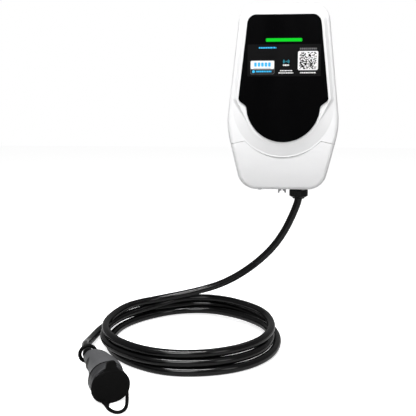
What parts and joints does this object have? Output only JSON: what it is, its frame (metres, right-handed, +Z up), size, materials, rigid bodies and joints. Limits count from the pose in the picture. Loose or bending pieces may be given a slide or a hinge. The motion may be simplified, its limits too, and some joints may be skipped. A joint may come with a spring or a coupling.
{
  "type": "ev wallbox",
  "caption": "Wall-mounted vehicle charging box with a shield-shaped black panel, a light bar, a fixed lead coiled on the floor and a capped vehicle connector.",
  "frame": {"origin": "middle of the four wall fixing holes, on the wall's surface", "axes": "+Y into the wall, +Z up, +X to the right of a person who faces the box"},
  "size_m": [0.5105, 0.5501, 0.677],
  "materials": {
    "plate_steel": "zinc-plated sheet",
    "case_white": "fine-grained moulded plastic",
    "seal_rubber": "foamed rubber",
    "panel_black": "polished black sheet",
    "light_green": "lit diffuser",
    "board_green": "circuit board with solder mask",
    "relay_plastic": "moulded component body",
    "winding_plastic": "taped winding",
    "can_aluminium": "drawn can",
    "terminal_plastic": "moulded polyamide",
    "screw_steel": "zinc-plated",
    "gland_plastic": "moulded polyamide",
    "lead_rubber": "smooth cable sheath",
    "handle_grey": "grained moulded plastic",
    "connector_black": "moulded plastic",
    "contact_brass": "turned contacts",
    "core_plastic": "insulation in several colours",
    "cap_rubber": "moulded rubber"
  },
  "bodies": {
    "wallbox": {"wall_plate": "plate_steel", "rear_housing": "case_white", "housing_seal": "seal_rubber", "upper_cover": "case_white", "lower_cover": "case_white", "front_panel": "panel_black", "light_lens": "light_green", "light_board": "board_green", "reader_board": "board_green", "power_board": "board_green", "power_relays": "relay_plastic", "transformer": "winding_plastic", "board_capacitors": "can_aluminium", "radio_module": "can_aluminium", "lead_terminals": "terminal_plastic", "supply_terminals": "terminal_plastic", "leakage_sensor": "relay_plastic", "supply_grommet": "seal_rubber", "upper_cover_screws": "screw_steel", "lower_cover_screws": "screw_steel", "board_screws": "screw_steel", "lock_tab": "plate_steel", "tab_screw": "screw_steel", "gland_body": "gland_plastic", "gland_locknut": "gland_plastic", "gland_seal": "seal_rubber", "gland_nut": "gland_plastic", "charging_lead": "lead_rubber", "lead_coil": "lead_rubber", "lead_tail": "lead_rubber", "connector_shell": "handle_grey", "connector_collar": "connector_black", "contact_carrier": "connector_black", "connector_contacts": "contact_brass", "connector_sleeve": "lead_rubber", "lead_clamp": "connector_black", "lead_cores": "core_plastic", "tether_ring": "cap_rubber"},
    "cap": {"dust_cap": "cap_rubber", "cap_tether": "cap_rubber"}
  },
  "joints": [
    {"name": "pull_cap", "type": "slide", "parent": "wallbox", "child": "cap", "axis": [0.4997, -0.8655, -0.0349], "range_m": [0, 0.045]}
  ]
}
